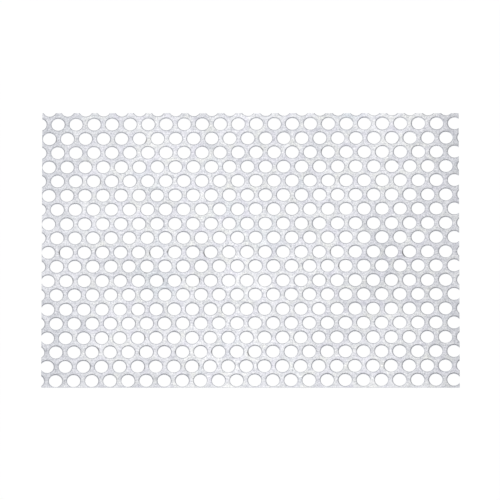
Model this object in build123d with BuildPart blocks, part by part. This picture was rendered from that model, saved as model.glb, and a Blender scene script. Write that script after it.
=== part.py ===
"""Perforated metal sheet: one flat panel of 1 mm galvanised steel, punched all over with round holes.

The holes are 10 mm across on 14 mm centres. Each row is set over by about half a pitch from the row
beside it, so every hole has six neighbours at nearly the same distance, and 46 % of the panel is open.
The tool that punched every second row stood a little off its true place, towards +X and the front.

The panel was sheared out of a larger punched sheet and has no plain border. Its left, right and back
edges run through holes and are scalloped by them, and its front edge leaves a thin strip of metal
along the last row. The shear cut is slightly out of line with the punching, so the rows climb a
little towards +X, and each row is set over by a little more than half a pitch.

Frame: +X along the rows, +Y across them, +Z up. The origin is the centre of the underside.
"""

import os
from math import radians, sqrt, tan

from build123d import *

# Driving dimensions, in millimetres and degrees.
panel_width = 323.5  # along the rows
panel_depth = 233.5  # across the rows
sheet_thickness = 1.0
hole_diameter = 10.0
hole_pitch = 14.0  # centre to centre, from a hole to each of its six neighbours

row_count = 20
holes_per_row = 24
first_hole_x = -2.975  # from the panel's left edge: the front row starts just outside it
first_hole_y = 5.4  # from the panel's front edge
row_climb = 0.24  # degrees that the rows rise towards +X
row_drift = 0.07  # how much further towards +X each row is than the one in front of it
second_tool_x = 0.40  # how far every second row is off its true place, towards +X
second_tool_y = -0.16  # and across the rows, towards the front

# Worked out from them.
row_spacing = hole_pitch * sqrt(3) / 2
left_edge = -panel_width / 2
front_edge = -panel_depth / 2


def hole_centre(row, column):
    """Centre of one hole, counting rows from the front edge and columns from the left one."""
    second_tool = row % 2
    along_row = column * hole_pitch + second_tool * (hole_pitch / 2 + second_tool_x)
    across_rows = row * row_spacing + second_tool * second_tool_y
    x = left_edge + first_hole_x + along_row + row * row_drift
    y = front_edge + first_hole_y + across_rows + along_row * tan(radians(row_climb))
    return (x, y)


hole_centres = [hole_centre(row, column) for row in range(row_count) for column in range(holes_per_row)]

# The punched sheet: the flat outline less every hole, whole or cut by an edge, pulled up from Z = 0.
with BuildPart() as perforated_sheet:
    with BuildSketch(Plane.XY) as punched_outline:
        Rectangle(panel_width, panel_depth)
        with Locations(*hole_centres):
            Circle(hole_diameter / 2, mode=Mode.SUBTRACT)
    extrude(amount=sheet_thickness)

perforated_sheet.part.label = "perforated_sheet"

os.makedirs("parts", exist_ok=True)
export_step(perforated_sheet.part, "parts/perforated_sheet.step")
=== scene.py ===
"""Looks of the perforated metal sheet: a punched panel of galvanised steel on a pale studio floor.

The CAD panel gives the size, the outline and the places of the holes. This script stands a finer mesh in
its place, with what punching and shearing leave on the metal: a rounded rim and lip round each hole on
the upper side, a small burr on the underside, and rounded sheared edges. Its zinc finish is all
procedural.

Everything is in metres, in the CAD frame: +X along the rows of holes, +Y across them, +Z up, with the
origin at the centre of the underside.
"""

import math

import bmesh
import bpy
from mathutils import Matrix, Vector, geometry, kdtree

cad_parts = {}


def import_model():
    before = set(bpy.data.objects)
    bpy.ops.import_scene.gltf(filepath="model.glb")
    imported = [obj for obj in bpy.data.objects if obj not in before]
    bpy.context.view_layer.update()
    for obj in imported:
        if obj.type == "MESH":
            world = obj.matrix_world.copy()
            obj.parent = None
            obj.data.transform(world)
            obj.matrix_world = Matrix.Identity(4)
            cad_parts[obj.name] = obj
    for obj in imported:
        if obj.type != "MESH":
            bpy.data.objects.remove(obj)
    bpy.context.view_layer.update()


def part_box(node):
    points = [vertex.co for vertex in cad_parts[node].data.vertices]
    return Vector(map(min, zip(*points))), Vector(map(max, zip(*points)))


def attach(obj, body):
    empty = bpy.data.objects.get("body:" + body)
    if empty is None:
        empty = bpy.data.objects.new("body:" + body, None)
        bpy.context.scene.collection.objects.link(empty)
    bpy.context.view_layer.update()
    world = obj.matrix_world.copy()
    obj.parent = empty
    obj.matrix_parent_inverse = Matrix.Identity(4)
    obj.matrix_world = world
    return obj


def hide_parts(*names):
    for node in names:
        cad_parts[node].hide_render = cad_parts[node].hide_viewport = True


MM = 0.001
NODE = "perforated_sheet"

# ---------------------------------------------------------------------------- the frame

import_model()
low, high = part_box(NODE)
thickness = high.z - low.z

# The hole pattern, as the CAD lays it out.
HOLE_RADIUS = 5.0 * MM
PITCH = 14.0 * MM
ROW_SPACING = PITCH * math.sqrt(3) / 2
ROWS = 20
HOLES_PER_ROW = 24
FIRST_HOLE = (-2.975 * MM, 5.4 * MM)  # from the panel's left and front edges
ROW_CLIMB = math.radians(0.24)
ROW_DRIFT = 0.07 * MM
SECOND_TOOL = (0.40 * MM, -0.16 * MM)  # how far every second row is off its true place


def hole_centre(row, column):
    """Centre of one hole, counting rows from the front edge and columns from the left one."""
    second_tool = row % 2
    along_row = column * PITCH + second_tool * (PITCH / 2 + SECOND_TOOL[0])
    across_rows = row * ROW_SPACING + second_tool * SECOND_TOOL[1]
    x = low.x + FIRST_HOLE[0] + along_row + row * ROW_DRIFT
    y = low.y + FIRST_HOLE[1] + across_rows + along_row * math.tan(ROW_CLIMB)
    return x, y


HOLES = [(row, column) for row in range(ROWS) for column in range(HOLES_PER_ROW)]
CENTRES = [hole_centre(row, column) for row, column in HOLES]

# ---------------------------------------------------------------------------- the punched sheet

SIDES = 28  # of each hole
ROLLOVER_WIDTH = 1.4 * MM  # how far round a hole the punch draws the upper face down
ROLLOVER_DEPTH = 0.14 * MM
SLOPE = (0.13, 0.46)  # shares of that width between which it slopes; nearer the hole is the lip
LOOPS = (1.0, SLOPE[1], 0.31, SLOPE[0])  # shares of that width at which there is a loop of edges
LIP_DEPTH = 0.30 * MM  # how much further the lip rounds down into the hole
BREAKOUT = 0.06 * MM  # how much wider a hole is where the slug tore out below
BURR_WIDTH = 0.12 * MM
BURR_HEIGHT = 0.03 * MM
SHEAR_DEPTH = 0.02 * MM  # how far the shear draws the panel's upper edges down
SHEAR_WIDTH = 0.15 * MM
TRIM = 12 * MM  # how much more sheet there is round the panel before it is sheared
SHARP_EDGE = math.radians(27)  # edges that bend more than this aren't shaded smooth
MERGE = 1e-9  # points nearer than this, when the blank is divided into triangles, are one
ON_PLANE = 1e-8  # points nearer than this to a cut are on it

CORNERS = [
    (low.x - TRIM, low.y - TRIM),
    (high.x + TRIM, low.y - TRIM),
    (high.x + TRIM, high.y + TRIM),
    (low.x - TRIM, high.y + TRIM),
]
TURNS = [2 * math.pi * (k + 0.5) / SIDES for k in range(SIDES)]


def rollover(share):
    """How far the upper face has dropped, at a share of the rollover's width from the hole."""
    up = min(1.0, max(0.0, (share - SLOPE[0]) / (SLOPE[1] - SLOPE[0])))
    return ROLLOVER_DEPTH * (1 - up * up * (3 - 2 * up))


# The wall of a hole from the upper face to the underside, as (wider than the hole, height).
WALL = [(share * ROLLOVER_WIDTH, thickness - rollover(share)) for share in LOOPS]
WALL += [
    (0.0, thickness - ROLLOVER_DEPTH - LIP_DEPTH),
    (BREAKOUT, 0.0),
    (BREAKOUT + BURR_WIDTH, BURR_HEIGHT),
]


def plan(wider):
    """The blank's corners and then the outline of every hole, seen from above."""
    radius = HOLE_RADIUS + wider
    points = list(CORNERS)
    for x, y in CENTRES:
        points += [(x + radius * math.cos(turn), y + radius * math.sin(turn)) for turn in TURNS]
    return points


def sides(outline):
    """Each point of a closed outline, with the one after it."""
    return list(zip(outline, outline[1:] + outline[:1]))


def punched_blank():
    """The sheet before it is sheared to size, punched all over, as a closed bmesh."""
    flat = [Vector(point) for point in plan(ROLLOVER_WIDTH)]
    border = list(range(len(CORNERS)))
    holes = [list(range(first, first + SIDES)) for first in range(len(CORNERS), len(flat), SIDES)]
    hole_at = {point: number for number, hole in enumerate(holes) for point in hole}
    edges = [side for outline in [border, *holes] for side in sides(outline)]
    _, _, faces, origins, _, _ = geometry.delaunay_2d_cdt(flat, edges, [], 0, MERGE)

    bm = bmesh.new()
    levels = [[bm.verts.new((x, y, height)) for x, y in plan(wider)] for wider, height in WALL]
    top, underside = levels[0], levels[-1]
    for face in faces:
        face = [origins[k][0] for k in face]
        touched = {hole_at.get(k) for k in face}
        if len(touched) == 1 and None not in touched:
            continue  # the slug that the punch took out
        bm.faces.new([top[k] for k in face])
        bm.faces.new([underside[k] for k in reversed(face)])
    for upper, lower in zip(levels, levels[1:]):
        for hole in holes:
            for here, after in sides(hole):
                bm.faces.new([upper[after], upper[here], lower[here], lower[after]])
    for level in levels[1:-1]:
        for corner in border:
            bm.verts.remove(level[corner])
    for here, after in sides(border):
        bm.faces.new([top[here], top[after], underside[after], underside[here]])
    bm.normal_update()
    return bm


def cut(bm, point, normal, trim):
    """Cuts the mesh along a plane. With trim, what lies beyond the plane goes."""
    geom = bm.verts[:] + bm.edges[:] + bm.faces[:]
    bmesh.ops.bisect_plane(
        bm, geom=geom, dist=ON_PLANE, plane_co=point, plane_no=normal, clear_outer=trim
    )


def shear(bm):
    """Cuts the blank to the CAD outline and draws its upper edges down a little, as a shear does."""
    planes = [
        (Vector((low.x, 0, 0)), Vector((-1, 0, 0))),
        (Vector((high.x, 0, 0)), Vector((1, 0, 0))),
        (Vector((0, low.y, 0)), Vector((0, -1, 0))),
        (Vector((0, high.y, 0)), Vector((0, 1, 0))),
    ]
    for point, normal in planes:
        cut(bm, point, normal, trim=True)
        open_edges = [e for e in bm.edges if len(e.link_faces) == 1]
        bmesh.ops.holes_fill(bm, edges=open_edges, sides=0)
    for point, normal in planes:
        for share in (0.5, 1.0):
            cut(bm, point - normal * SHEAR_WIDTH * share, normal, trim=False)
    for v in bm.verts:
        inset = min(v.co.x - low.x, high.x - v.co.x, v.co.y - low.y, high.y - v.co.y)
        if inset < SHEAR_WIDTH:
            drop = SHEAR_DEPTH * (1 - inset / SHEAR_WIDTH) ** 2
            v.co.z -= drop * v.co.z / thickness


def punched_sheet():
    """The finished panel, as one smooth-shaded mesh whose flat faces stay flat."""
    bm = punched_blank()
    shear(bm)
    bmesh.ops.triangulate(bm, faces=[f for f in bm.faces if len(f.verts) > 4])
    mesh = bpy.data.meshes.new("punched_sheet")
    bm.to_mesh(mesh)
    bm.free()
    mesh.shade_smooth()
    mesh.set_sharp_from_angle(angle=SHARP_EDGE)
    sheet = bpy.data.objects.new("punched_sheet", mesh)
    bpy.context.scene.collection.objects.link(sheet)
    weighted = sheet.modifiers.new("flat_faces_stay_flat", "WEIGHTED_NORMAL")
    weighted.keep_sharp = True
    weighted.weight = 100
    return sheet


# ---------------------------------------------------------------------------- wear

# Marks that the punch left beside a hole, from the back row to the front one: (row, column, direction,
# reach, strength). The direction is from the hole's centre, in degrees from +X towards +Y, and the reach
# is how many degrees the mark goes to each side of it.
PUNCH_MARKS = [
    (17, 0, 350, 30, 0.35),
    (17, 5, 335, 24, 0.60),
    (17, 19, 330, 24, 0.30),
    (16, 12, 30, 22, 0.40),
    (16, 16, 165, 26, 0.40),
    (15, 19, 40, 20, 0.35),
    (14, 3, 345, 26, 0.35),
    (12, 11, 175, 28, 0.35),
    (12, 13, 180, 28, 0.40),
    (11, 14, 5, 24, 0.30),
    (9, 1, 182, 26, 0.80),
    (9, 3, 160, 24, 0.40),
    (9, 5, 160, 30, 0.20),
    (9, 6, 192, 24, 0.80),
    (9, 7, 170, 20, 0.75),
    (9, 9, 198, 34, 0.80),
    (9, 12, 170, 30, 0.25),
    (9, 16, 180, 30, 0.40),
    (9, 18, 205, 30, 0.35),
    (9, 20, 205, 40, 0.80),
    (8, 6, 262, 24, 0.40),
    (8, 8, 200, 26, 0.45),
    (8, 17, 185, 30, 0.60),
    (7, 1, 2, 26, 0.40),
    (7, 6, 8, 24, 0.55),
    (7, 7, 10, 20, 0.50),
    (7, 8, 10, 20, 0.60),
    (7, 15, 5, 20, 0.45),
    (7, 19, 350, 28, 0.45),
    (7, 20, 0, 20, 0.35),
    (5, 5, 215, 22, 0.40),
    (5, 18, 330, 30, 0.35),
    (3, 3, 215, 30, 0.25),
    (3, 4, 262, 26, 0.30),
    (3, 5, 0, 22, 0.60),
    (2, 3, 25, 30, 0.35),
    (2, 6, 190, 22, 0.60),
    (2, 8, 180, 22, 0.45),
    (2, 10, 180, 22, 0.55),
    (2, 12, 195, 34, 0.80),
    (2, 18, 150, 30, 0.40),
    (1, 2, 0, 30, 0.40),
    (1, 5, 340, 22, 0.40),
    (1, 8, 8, 20, 0.55),
    (1, 19, 150, 30, 0.35),
]
MARK_WIDTH = 0.9 * ROLLOVER_WIDTH  # how far from the hole a mark goes


def mark_holes(sheet):
    """Writes what the finish needs to know of each upper point: how far into a rim it is, how marked."""
    tree = kdtree.KDTree(len(CENTRES))
    for k, (x, y) in enumerate(CENTRES):
        tree.insert((x, y, 0), k)
    tree.balance()
    marks = {(row, column): rest for row, column, *rest in PUNCH_MARKS}
    mesh = sheet.data
    rim = mesh.attributes.new("rim", "FLOAT", "POINT")
    mark = mesh.attributes.new("mark", "FLOAT", "POINT")
    for v in mesh.vertices:
        if v.co.z < thickness / 2:
            continue  # the underside keeps a plain finish
        _, k, _ = tree.find((v.co.x, v.co.y, 0))
        dx, dy = v.co.x - CENTRES[k][0], v.co.y - CENTRES[k][1]
        beyond = math.hypot(dx, dy) - HOLE_RADIUS
        rim.data[v.index].value = min(1.0, max(0.0, 1 - beyond / ROLLOVER_WIDTH))
        if HOLES[k] in marks and beyond < MARK_WIDTH:
            direction, reach, strength = marks[HOLES[k]]
            off = abs((math.degrees(math.atan2(dy, dx)) - direction + 180) % 360 - 180)
            mark.data[v.index].value = strength * max(0.0, 1 - (off / reach) ** 2)


# ---------------------------------------------------------------------------- materials


class Nodes:
    """A small hand for building the node tree of a material or a world."""

    def __init__(self, owner):
        owner.use_nodes = True
        self.tree = owner.node_tree
        self.tree.nodes.clear()

    def add(self, kind, **settings):
        node = self.tree.nodes.new(kind)
        for key, value in settings.items():
            setattr(node, key, value)
        return node

    def put(self, value, socket):
        """Sets a socket to a number, a colour or another node's output."""
        if isinstance(value, bpy.types.NodeSocket):
            self.tree.links.new(value, socket)
        else:
            socket.default_value = value

    def math(self, operation, a, b):
        node = self.add("ShaderNodeMath", operation=operation)
        self.put(a, node.inputs[0])
        self.put(b, node.inputs[1])
        return node.outputs[0]

    def mix(self, factor, a, b, blend="MIX"):
        """Mixes two colours, whose sockets come after those for numbers and vectors."""
        node = self.add("ShaderNodeMix", data_type="RGBA", blend_type=blend)
        self.put(factor, node.inputs[0])
        self.put(a, node.inputs[6])
        self.put(b, node.inputs[7])
        return node.outputs[2]

    def spread(self, value, low_in, high_in, low_out, high_out):
        """Maps a number from one range to another and keeps it there."""
        node = self.add("ShaderNodeMapRange", clamp=True)
        for socket, number in zip(node.inputs, (value, low_in, high_in, low_out, high_out)):
            self.put(number, socket)
        return node.outputs[0]

    def split(self, vector):
        """The X, Y and Z of a vector."""
        node = self.add("ShaderNodeSeparateXYZ")
        self.put(vector, node.inputs[0])
        return node.outputs

    def noise(self, place, size, detail=2.0, roughness=0.5, cut=0.0):
        """Noise whose features are about size metres across. cut picks another pattern."""
        node = self.add("ShaderNodeTexNoise", noise_dimensions="4D")
        node.inputs["W"].default_value = cut
        self.put(place, node.inputs["Vector"])
        node.inputs["Scale"].default_value = 1 / size
        node.inputs["Detail"].default_value = detail
        node.inputs["Roughness"].default_value = roughness
        return node.outputs["Fac"]

    def attribute(self, name):
        return self.add("ShaderNodeAttribute", attribute_name=name).outputs["Fac"]


WHITE = (1, 1, 1, 1)
ZINC = (0.712, 0.720, 0.754, 1)
ZINC_LAVENDER = (0.688, 0.682, 0.754, 1)
ZINC_GREENISH = (0.731, 0.740, 0.719, 1)
ZINC_STAINED = (0.645, 0.688, 0.728, 1)
# darker, bluer zinc painted along the left and right edges as shade
ZINC_SHADED = (0.640, 0.648, 0.688, 1)
# bare steel made darker than it is: painted shade of the rolled rims round the holes
RIM_STEEL_AND_SHADE = (0.42, 0.43, 0.47, 1)
WALL_STEEL = (0.87, 0.885, 0.925, 1)
PUNCH_DIRT = (0.10, 0.095, 0.09, 1)

# The features of the zinc: how large each is, and how strong. Some mix in a share of another colour, and
# the others make the zinc this many times as light, or this share lighter and darker.
TINT_SIZE, TINT_SHARE = 12 * MM, 0.8
STAIN_SIZE, STAIN_SHARE = 45 * MM, 0.7
CLOUD_SIZE, CLOUD_LIGHT = 90 * MM, (0.90, 1.09)
SPECK_SIZE, SPECK_LIGHT = 1.6 * MM, 0.75
CRYSTAL_SIZE, CRYSTAL_REACH = 3.0 * MM, 0.15
GRAIN_SIZE, GRAIN_REACH = 1.1 * MM, 0.26
STREAK_SIZE, STREAK_REACH = 14 * MM, 0.13
STREAK_TURN, STREAK_STRETCH = math.radians(-52), 9
SHADE_POWERS = (1.04, 1.0, 0.94)  # of red, green and blue: what is darker is a little bluer

PAINTED_LIGHT_SPOT = (0.0, -85 * MM, 0.0)  # painted light: where the zinc is painted lightest, at the front, in the middle
PAINTED_LIGHT_REACH = (30 * MM, 120 * MM)  # how far from there it is lightest, and how far it is lighter at all
PAINTED_LIGHT_GAIN = 1.05  # times as light
SHADED_EDGE = 45 * MM  # how far in the zinc is painted darker and bluer along the left and right edges: painted shade
SHADE_LEFT, SHADE_RIGHT = 1.0, 0.4  # how strong the painted shade is there, as shares

# A ring of bare steel round each hole, darkened as painted shade of the rolled rim. The rim is 0 where
# it leaves the flat face and 1 at the hole.
RING_STARTS, RING_ENDS = (0.36, 0.48), (0.70, 0.92)  # where on the rim it fades in, and out
WANDER_SIZE, WANDER = 4.5 * MM, 0.24  # how far it strays in or out, as a share of the rim
PATCH_SIZE, PATCH_SHARE = 5 * MM, (0.30, 1.25)  # how strong it is where faint, and where plain

CLOUD_ROUGHNESS = (0.31, 0.25)  # of the zinc where its clouds are dark, and where they are light
RIM_ROUGHNESS = 0.1  # what is added at the rims
BUMP_STRENGTH, BUMP_HEIGHT = 0.35, 0.03 * MM
CRYSTAL_BUMP = 2.0  # how many times as high as the grain the crystals stand


def zinc_colour(n, place, across):
    """Colour of the zinc: faint tints and stains, and painted shade, darker and bluer, along the left
    and right edges.
    """
    tint = n.noise(place, TINT_SIZE, detail=2.0, roughness=0.6)
    stains = n.noise(place, STAIN_SIZE, detail=3.0, roughness=0.65)
    colour = n.mix(n.spread(tint, 0.30, 0.50, TINT_SHARE, 0), ZINC, ZINC_LAVENDER)
    colour = n.mix(n.spread(tint, 0.50, 0.70, 0, TINT_SHARE), colour, ZINC_GREENISH)
    colour = n.mix(n.spread(stains, 0.56, 0.72, 0, STAIN_SHARE), colour, ZINC_STAINED)
    # painted shade along the left and right edges
    colour = n.mix(n.spread(across, low.x, low.x + SHADED_EDGE, SHADE_LEFT, 0), colour, ZINC_SHADED)
    return n.mix(n.spread(across, high.x - SHADED_EDGE, high.x, 0, SHADE_RIGHT), colour, ZINC_SHADED)


def zinc_shade(n, place, clouds, crystals, grain):
    """What the zinc's colour is multiplied by: clouds, crystals, grain, wipe streaks, dark specks and a
    painted patch of light at the front.
    """
    turned = n.add("ShaderNodeMapping")
    n.put(place, turned.inputs["Vector"])
    turned.inputs["Rotation"].default_value = (0, 0, STREAK_TURN)
    turned.inputs["Scale"].default_value = (1, STREAK_STRETCH, 1)
    streaks = n.noise(turned.outputs[0], STREAK_SIZE, detail=3.0, roughness=0.6)
    specks = n.noise(place, SPECK_SIZE, detail=0.0)
    from_light_spot = n.add("ShaderNodeVectorMath", operation="DISTANCE")
    n.put(place, from_light_spot.inputs[0])
    from_light_spot.inputs[1].default_value = PAINTED_LIGHT_SPOT
    # painted light: the zinc is made lighter round a spot at the front, in the middle
    pale = n.spread(from_light_spot.outputs["Value"], *PAINTED_LIGHT_REACH, PAINTED_LIGHT_GAIN, 1.0)

    light = n.spread(clouds, 0.3, 0.7, *CLOUD_LIGHT)
    for texture, reach in ((grain, GRAIN_REACH), (crystals, CRYSTAL_REACH), (streaks, STREAK_REACH)):
        light = n.math("MULTIPLY", light, n.spread(texture, 0.25, 0.75, 1 - reach, 1 + reach))
    light = n.math("MULTIPLY", light, n.spread(specks, 0.66, 0.80, 1.0, SPECK_LIGHT))
    # the painted patch of light
    light = n.math("MULTIPLY", light, pale)
    shade = n.add("ShaderNodeCombineXYZ")
    for socket, power in zip(shade.inputs, SHADE_POWERS):
        n.put(n.math("POWER", light, power), socket)
    return shade.outputs[0]


def bare_ring_and_shade(n, place, rim):
    """1 in a thin ring round a hole that wanders and is patchy: where the punch wiped the zinc off, and
    painted shade of the rolled rim.
    """
    wander = n.noise(place, WANDER_SIZE, detail=2.0)
    patches = n.noise(place, PATCH_SIZE, detail=1.0)
    ring = n.math("ADD", rim, n.spread(wander, 0.25, 0.75, -WANDER, WANDER))
    ring = n.math("MULTIPLY", n.spread(ring, *RING_STARTS, 0, 1), n.spread(ring, *RING_ENDS, 1, 0))
    ring = n.math("MULTIPLY", ring, n.spread(patches, 0.3, 0.7, *PATCH_SHARE))
    return n.math("MULTIPLY", ring, n.spread(rim, 0.0, 0.08, 0, 1))


def cut_face(n, height):
    """1 on the walls of the holes and the sheared sides, from under the rim down to the burr."""
    below_rim = n.spread(height, thickness - ROLLOVER_DEPTH, thickness - 1.5 * ROLLOVER_DEPTH, 0, 1)
    above_burr = n.spread(height, BURR_HEIGHT, 2 * BURR_HEIGHT, 0, 1)
    return n.math("MULTIPLY", below_rim, above_burr)


def galvanised_steel():
    """Zinc-coated mill finish with bright cut faces and dark punch marks, painted shade in rings of bare
    steel round the holes and along the side edges, and a painted patch of light at the front.
    """
    material = bpy.data.materials.new("galvanised_steel")
    n = Nodes(material)
    place = n.add("ShaderNodeTexCoord").outputs["Object"]
    across, _, height = n.split(place)
    rim = n.attribute("rim")
    clouds = n.noise(place, CLOUD_SIZE, detail=3.0, roughness=0.7, cut=4.0)
    crystals = n.noise(place, CRYSTAL_SIZE, detail=2.0, roughness=0.6)
    grain = n.noise(place, GRAIN_SIZE, detail=1.0, roughness=0.6)

    shade = zinc_shade(n, place, clouds, crystals, grain)
    colour = n.mix(1.0, zinc_colour(n, place, across), shade, "MULTIPLY")
    # bare steel and painted shade in a ring round each hole
    colour = n.mix(bare_ring_and_shade(n, place, rim), colour, RIM_STEEL_AND_SHADE)
    colour = n.mix(cut_face(n, height), colour, WALL_STEEL)
    colour = n.mix(n.attribute("mark"), colour, PUNCH_DIRT)

    roughness = n.spread(clouds, 0.3, 0.7, *CLOUD_ROUGHNESS)
    roughness = n.math("ADD", roughness, n.math("MULTIPLY", rim, RIM_ROUGHNESS))
    bump = n.add("ShaderNodeBump")
    bump.inputs["Strength"].default_value = BUMP_STRENGTH
    bump.inputs["Distance"].default_value = BUMP_HEIGHT
    n.put(n.math("ADD", grain, n.math("MULTIPLY", crystals, CRYSTAL_BUMP)), bump.inputs["Height"])

    metal = n.add("ShaderNodeBsdfPrincipled")
    metal.inputs["Metallic"].default_value = 1.0
    n.put(colour, metal.inputs["Base Color"])
    n.put(roughness, metal.inputs["Roughness"])
    n.put(bump.outputs[0], metal.inputs["Normal"])
    out = n.add("ShaderNodeOutputMaterial")
    n.put(metal.outputs[0], out.inputs["Surface"])
    return material


FLOOR_GREY = (0.9, 0.9, 0.9, 1)
FLOOR_WHITE = 1.03  # how bright it shows: white, with a little to spare
FLOOR_SEEN = 0.95  # how much of that shows; the rest is matt and keeps the shadow


def seen_directly(n):
    """1 for rays that show the stage itself: from the camera, off metal, or through glass."""
    rays = n.add("ShaderNodeLightPath").outputs
    seen = n.math("MAXIMUM", rays["Is Camera Ray"], rays["Is Glossy Ray"])
    return n.math("MAXIMUM", seen, rays["Is Transmission Ray"])


def studio_floor():
    """A pale matt floor that shows white, and keeps a light shadow under the sheet."""
    material = bpy.data.materials.new("studio_floor")
    n = Nodes(material)
    matt = n.add("ShaderNodeBsdfDiffuse")
    matt.inputs["Color"].default_value = FLOOR_GREY
    white = n.add("ShaderNodeEmission")
    white.inputs["Color"].default_value = WHITE
    white.inputs["Strength"].default_value = FLOOR_WHITE
    both = n.add("ShaderNodeMixShader")
    n.put(n.math("MULTIPLY", seen_directly(n), FLOOR_SEEN), both.inputs[0])
    n.put(matt.outputs[0], both.inputs[1])
    n.put(white.outputs[0], both.inputs[2])
    out = n.add("ShaderNodeOutputMaterial")
    n.put(both.outputs[0], out.inputs["Surface"])
    return material


# ---------------------------------------------------------------------------- the studio

FLOOR_REACH = 30  # metres from its middle to each side
FLOOR_GAP = 0.02 * MM  # between it and the sheet

KEY_PLACE = Vector((-0.05, 0.25, 0.55))  # above the sheet, towards its back
KEY_SIZE = 0.5
KEY_WATTS = 0.50

WALLS, CEILING = 0.80, 0.32  # how bright the studio is round the sheet, and straight above it
DIM_LEFT, DIM_RIGHT = 0.85, 0.66  # how bright it is at the left and at the right, against the rest
DIM_FRONT = 0.50  # how bright the ceiling is at the front, against the rest
# Where these change over, on a sphere of radius 1 round the sheet.
WALLS_END, CEILING_STARTS = 0.80, 0.98
SIDE_STARTS, SIDE_FULL = 0.1, 0.6
FRONT_FULL, FRONT_ENDS = -0.4, 0.3
HORIZON_FULL, HORIZON_ENDS = 0.15, 0.50  # it is white at the horizon and below

CAMERA_ELEVATION = math.radians(65.54)
LENS = 1650  # a long lens from far away: the sheet's sides stay parallel
SENSOR = 36
FRAME_WIDTH = 0.38756  # metres across the picture, where the sheet lies
AIM = Vector((-0.000377, 0.000375, 0.0))
VIEW_END = 100  # metres from the camera, past the sheet and the floor behind it


def floor():
    """The floor that the sheet lies on."""
    bm = bmesh.new()
    bmesh.ops.create_grid(bm, x_segments=1, y_segments=1, size=FLOOR_REACH)
    mesh = bpy.data.meshes.new("studio_floor")
    bm.to_mesh(mesh)
    bm.free()
    mesh.materials.append(studio_floor())
    plane = bpy.data.objects.new("studio_floor", mesh)
    plane.location.z = low.z - FLOOR_GAP
    bpy.context.scene.collection.objects.link(plane)


def key_softbox():
    """A soft square light that looks at the middle of the sheet."""
    light = bpy.data.lights.new("key_softbox", "AREA")
    light.size = KEY_SIZE
    light.energy = KEY_WATTS
    lamp = bpy.data.objects.new("key_softbox", light)
    lamp.location = KEY_PLACE
    lamp.rotation_euler = (-KEY_PLACE).to_track_quat("-Z", "Y").to_euler()
    lamp.visible_camera = False
    bpy.context.scene.collection.objects.link(lamp)


def world():
    """Soft studio surroundings: white walls round the sheet under a dimmer ceiling."""
    studio = bpy.data.worlds.new("studio")
    bpy.context.scene.world = studio
    n = Nodes(studio)
    x, y, z = n.split(n.add("ShaderNodeTexCoord").outputs["Generated"])
    ceiling = n.spread(y, FRONT_FULL, FRONT_ENDS, DIM_FRONT * CEILING, CEILING)
    upper = n.spread(z, WALLS_END, CEILING_STARTS, WALLS, ceiling)
    left = n.spread(x, -SIDE_FULL, -SIDE_STARTS, DIM_LEFT, 1.0)
    right = n.spread(x, SIDE_STARTS, SIDE_FULL, 1.0, DIM_RIGHT)
    upper = n.math("MULTIPLY", upper, n.math("MULTIPLY", left, right))
    lower = n.spread(z, HORIZON_FULL, HORIZON_ENDS, 1.0, 0.0)
    light = n.add("ShaderNodeBackground")
    light.inputs["Color"].default_value = WHITE
    n.put(n.math("MAXIMUM", upper, lower), light.inputs["Strength"])
    out = n.add("ShaderNodeOutputWorld")
    n.put(light.outputs[0], out.inputs["Surface"])


def camera():
    """Looks down at the middle of the sheet from in front of it."""
    data = bpy.data.cameras.new("camera")
    data.lens = LENS
    data.sensor_width = SENSOR
    data.clip_end = VIEW_END
    eye = bpy.data.objects.new("camera", data)
    away = Vector((0, -math.cos(CAMERA_ELEVATION), math.sin(CAMERA_ELEVATION)))
    eye.location = AIM + away * FRAME_WIDTH * LENS / SENSOR
    eye.rotation_euler = (-away).to_track_quat("-Z", "Y").to_euler()
    bpy.context.scene.collection.objects.link(eye)
    bpy.context.scene.camera = eye


# ---------------------------------------------------------------------------- all together

camera()
sheet = punched_sheet()
mark_holes(sheet)
sheet.data.materials.append(galvanised_steel())
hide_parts(NODE)
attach(sheet, "root")
floor()
key_softbox()
world()
bpy.context.scene.view_settings.view_transform = "Standard"
